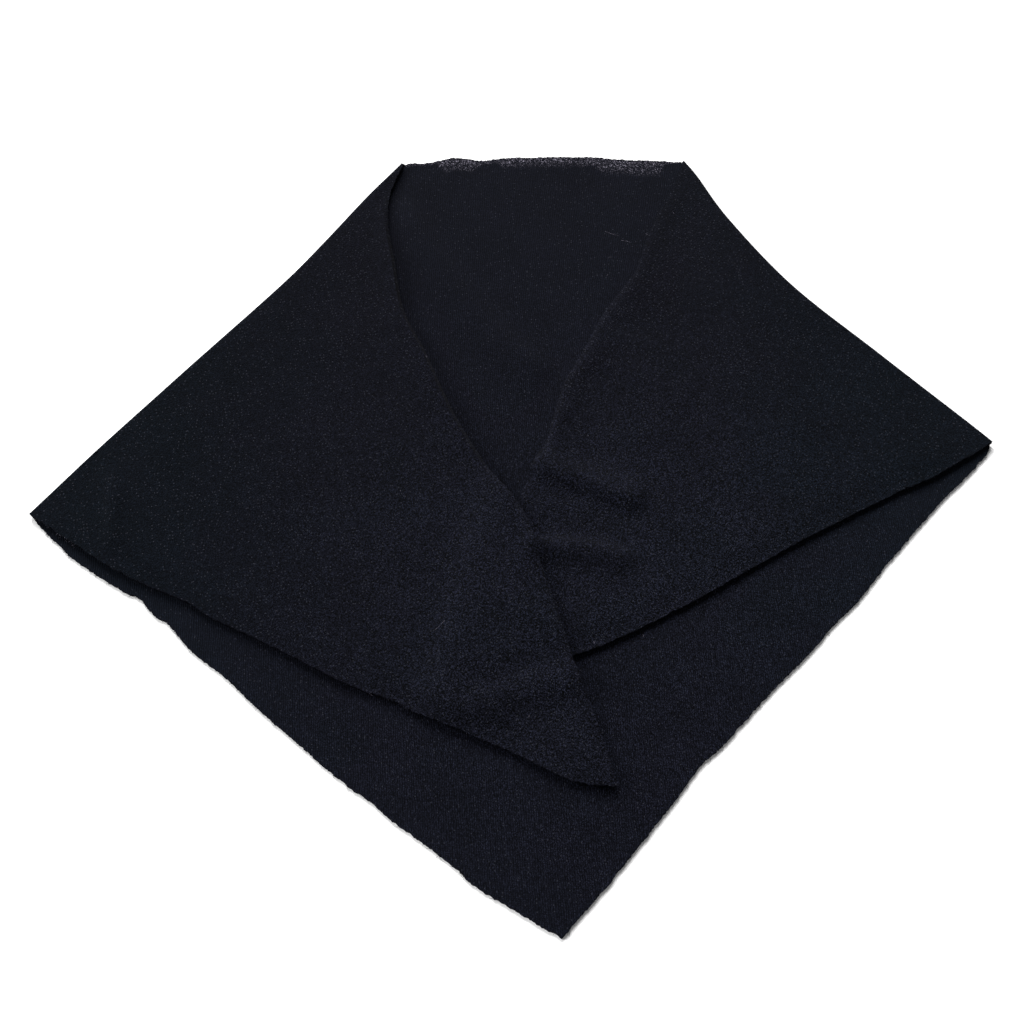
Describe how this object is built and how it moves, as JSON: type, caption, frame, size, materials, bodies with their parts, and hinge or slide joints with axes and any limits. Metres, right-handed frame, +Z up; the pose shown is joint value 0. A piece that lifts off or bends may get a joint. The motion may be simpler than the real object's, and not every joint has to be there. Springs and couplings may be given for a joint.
{
  "type": "folded neckerchief",
  "caption": "Raw-cut triangle of black brushed knit, folded flat with both tips crossed forward over the back panel.",
  "frame": {"origin": "middle of the folded outline, on the surface it lies on", "axes": "+X along the neck edge towards the longer right wing corner, +Y from the apex to the neck edge, +Z up out of the surface"},
  "size_m": [0.5236, 0.4822, 0.0074],
  "materials": {
    "black_knit": "matte blue-black sweatshirt knit: fine upright wales on the face, brushed nap on the back"
  },
  "bodies": {
    "root": {"neckerchief": "black_knit"}
  },
  "joints": []
}
